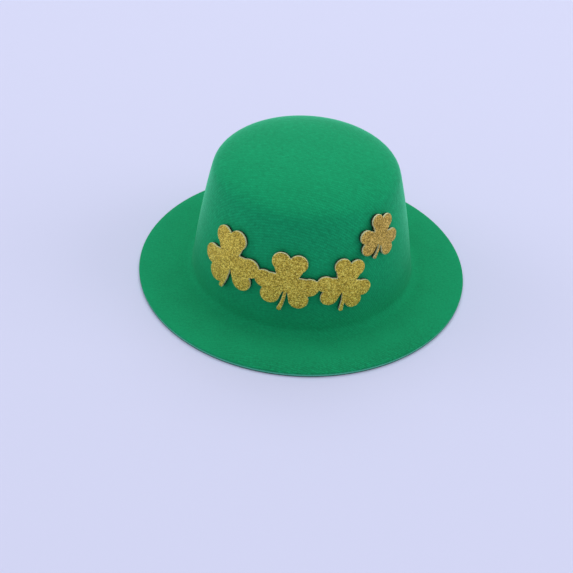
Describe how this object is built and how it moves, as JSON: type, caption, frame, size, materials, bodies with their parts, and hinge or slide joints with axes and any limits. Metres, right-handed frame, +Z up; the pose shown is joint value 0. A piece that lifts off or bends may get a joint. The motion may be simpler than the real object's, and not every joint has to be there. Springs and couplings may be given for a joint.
{
  "type": "mini hat headpiece",
  "caption": "Small round-crowned dress-up hat with a flat brim, moulded in one from knit-covered foam, with glitter shamrock cut-outs on the crown and a hair clip inside it.",
  "frame": {"origin": "centre of the brim's underside, on the surface that the hat rests on", "axes": "+Z up the axis of the crown, -Y towards the front with the row of cut-outs, +X to the right as seen from the front"},
  "size_m": [0.14, 0.14, 0.0605],
  "materials": {
    "green_knit": "brushed jersey knit laminated to foam",
    "gold_glitter": "foam sheet faced with gold glitter",
    "spring_steel": "plain strip"
  },
  "bodies": {
    "root": {"hat_shell": "green_knit", "shamrock": "gold_glitter", "garland": "gold_glitter", "hair_clip": "spring_steel"}
  },
  "joints": []
}
